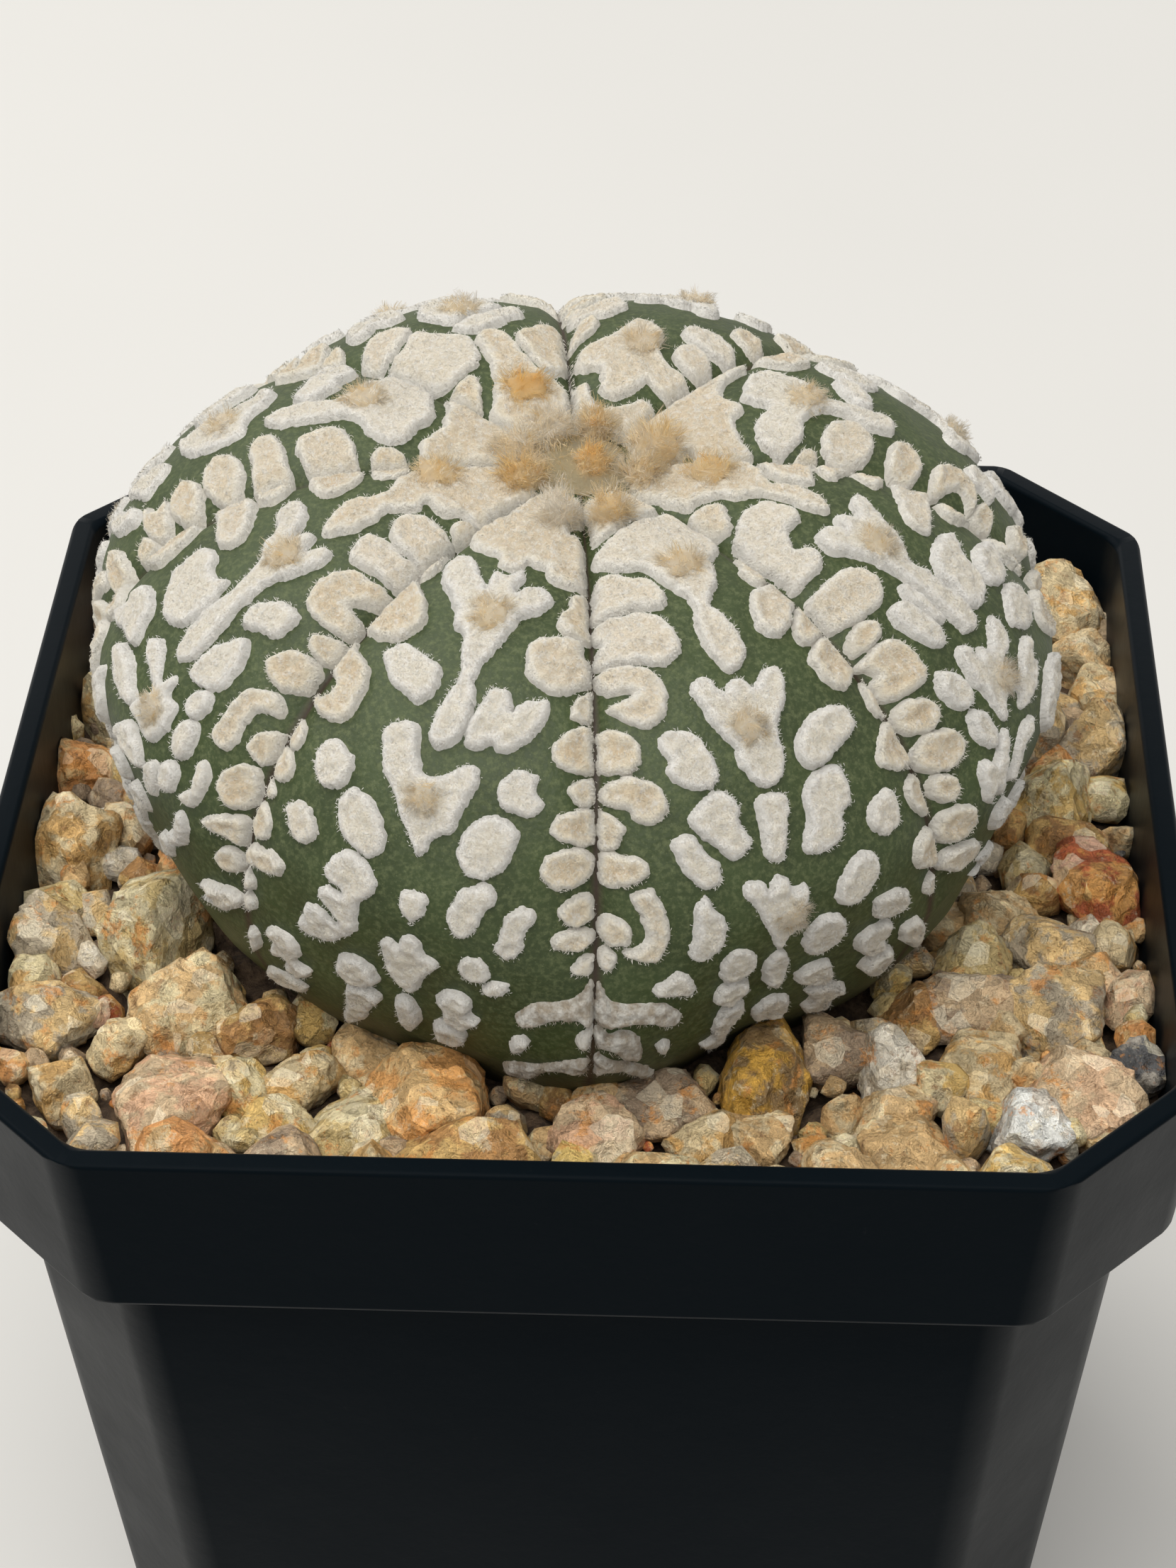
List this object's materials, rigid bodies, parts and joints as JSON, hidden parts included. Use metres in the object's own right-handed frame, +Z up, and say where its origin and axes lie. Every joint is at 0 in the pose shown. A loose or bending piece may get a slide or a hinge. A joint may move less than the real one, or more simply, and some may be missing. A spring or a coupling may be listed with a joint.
{
  "type": "potted star cactus",
  "caption": "Flat round star cactus with raised white felt flecks, in a square black plastic pot topped with mixed gravel.",
  "frame": {"origin": "centre of the pot's foot, at the level it stands on", "axes": "+Z up, -Y towards the front, +X to the right seen from the front"},
  "size_m": [0.09, 0.09, 0.1156],
  "materials": {
    "black_plastic": "moulded, matte, dusty",
    "potting_mix": "loose dark crumbly mix",
    "gravel": "dry mixed stones, tan to orange and grey",
    "cactus_skin": "dark olive skin with fine pale specks",
    "felt_flecks": "short white to cream felt",
    "areole_wool": "tan wool",
    "crown_wool": "golden wool with cream tips"
  },
  "bodies": {
    "root": {"pot": "black_plastic", "potting_mix": "potting_mix", "gravel": "gravel", "stem": "cactus_skin", "crown_wool": "crown_wool"}
  },
  "joints": []
}
